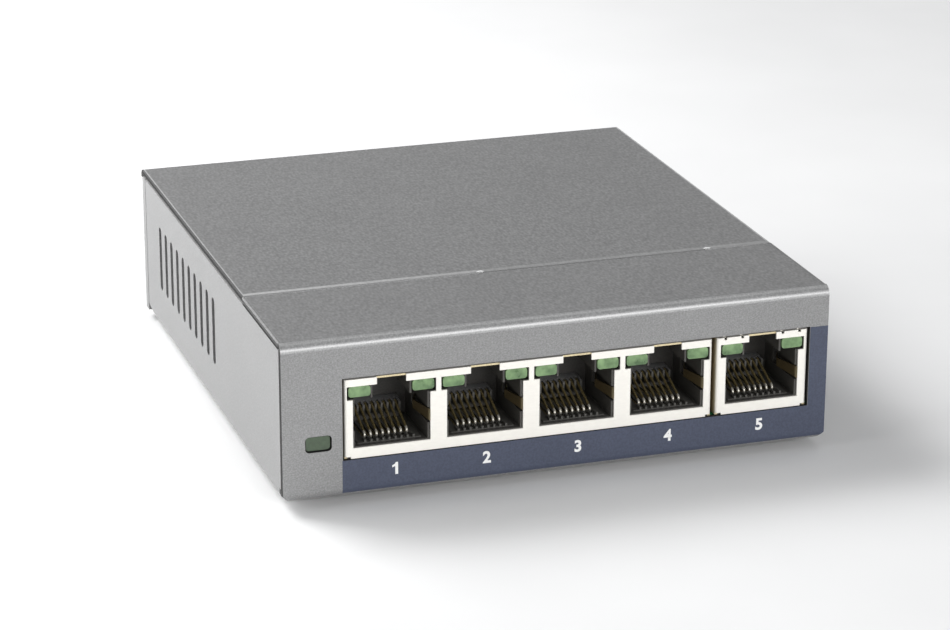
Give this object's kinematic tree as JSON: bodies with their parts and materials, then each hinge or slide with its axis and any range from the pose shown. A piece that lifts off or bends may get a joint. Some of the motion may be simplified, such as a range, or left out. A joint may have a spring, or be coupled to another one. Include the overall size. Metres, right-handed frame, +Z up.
{
  "type": "desktop network switch",
  "caption": "Flat desktop network switch in a folded sheet-steel case, with shielded ports along the front, indicator lenses above them and vents in the sides.",
  "frame": {"origin": "under the middle of the case, on the plane that the rubber feet stand on", "axes": "+X to the right seen from the ports, +Y from the ports to the back, +Z up"},
  "size_m": [0.094, 0.101, 0.0286],
  "materials": {
    "painted_steel": "fine speckled grey coating with dark cut edges",
    "screw_steel": "zinc plated",
    "foot_rubber": "matt black",
    "standoff_brass": "turned",
    "board_green": "solder mask",
    "shield_tin": "tin plated, pale and satin",
    "jack_plastic": "black",
    "carrier_plastic": "black",
    "contact_gold": "gold plated",
    "lens_green": "clear green",
    "power_green": "dull green",
    "chip_epoxy": "black epoxy",
    "pad_blue": "soft pad",
    "sink_aluminium": "extruded",
    "can_metal": "nickel plated",
    "ferrite": "moulded",
    "can_sleeve": "sleeved can",
    "spring_metal": "phosphor bronze",
    "button_plastic": "red"
  },
  "bodies": {
    "case": {"base_tray": "painted_steel", "top_cover": "painted_steel", "case_screws": "screw_steel", "rubber_feet": "foot_rubber", "standoffs": "standoff_brass", "pcb": "board_green", "pcb_screws": "screw_steel", "quad_jack_shield": "shield_tin", "single_jack_shield": "shield_tin", "quad_jack_housing": "jack_plastic", "single_jack_housing": "jack_plastic", "switch_chip": "chip_epoxy", "thermal_pad": "pad_blue", "heatsink": "sink_aluminium", "flash_chip": "chip_epoxy", "crystal": "can_metal", "regulator": "chip_epoxy", "inductor": "ferrite", "capacitors": "can_sleeve", "power_led_holder": "jack_plastic", "power_led_lens": "power_green", "dc_jack_body": "jack_plastic", "dc_jack_pin": "can_metal", "dc_jack_spring": "spring_metal", "reset_switch": "jack_plastic", "contact_carrier_1": "carrier_plastic", "contact_leads_1": "contact_gold", "port_leds_1": "lens_green", "magnetics_1": "chip_epoxy", "contact_carrier_2": "carrier_plastic", "contact_leads_2": "contact_gold", "port_leds_2": "lens_green", "magnetics_2": "chip_epoxy", "contact_carrier_3": "carrier_plastic", "contact_leads_3": "contact_gold", "port_leds_3": "lens_green", "magnetics_3": "chip_epoxy", "contact_carrier_4": "carrier_plastic", "contact_leads_4": "contact_gold", "port_leds_4": "lens_green", "magnetics_4": "chip_epoxy", "contact_carrier_5": "carrier_plastic", "contact_leads_5": "contact_gold", "port_leds_5": "lens_green", "magnetics_5": "chip_epoxy"},
    "contacts_1_body": {"contacts_1": "contact_gold"},
    "contacts_2_body": {"contacts_2": "contact_gold"},
    "contacts_3_body": {"contacts_3": "contact_gold"},
    "contacts_4_body": {"contacts_4": "contact_gold"},
    "contacts_5_body": {"contacts_5": "contact_gold"},
    "reset_button_body": {"reset_button": "button_plastic"}
  },
  "joints": [
    {"name": "contacts_1_flex", "type": "hinge", "parent": "case", "child": "contacts_1_body", "pos_m": [-0.02873, -0.0461, 0.0102], "axis": [-1, 0, 0], "range_deg": [0, 10], "stiffness_Nm_per_rad": 0.03},
    {"name": "contacts_2_flex", "type": "hinge", "parent": "case", "child": "contacts_2_body", "pos_m": [-0.01298, -0.0461, 0.0102], "axis": [-1, 0, 0], "range_deg": [0, 10], "stiffness_Nm_per_rad": 0.03},
    {"name": "contacts_3_flex", "type": "hinge", "parent": "case", "child": "contacts_3_body", "pos_m": [0.00278, -0.0461, 0.0102], "axis": [-1, 0, 0], "range_deg": [0, 10], "stiffness_Nm_per_rad": 0.03},
    {"name": "contacts_4_flex", "type": "hinge", "parent": "case", "child": "contacts_4_body", "pos_m": [0.01852, -0.0461, 0.0102], "axis": [-1, 0, 0], "range_deg": [0, 10], "stiffness_Nm_per_rad": 0.03},
    {"name": "contacts_5_flex", "type": "hinge", "parent": "case", "child": "contacts_5_body", "pos_m": [0.03535, -0.0461, 0.0102], "axis": [-1, 0, 0], "range_deg": [0, 10], "stiffness_Nm_per_rad": 0.03},
    {"name": "reset_press", "type": "slide", "parent": "case", "child": "reset_button_body", "axis": [0, -1, 0], "range_m": [0, 0.0003], "stiffness_N_per_m": 2000}
  ]
}
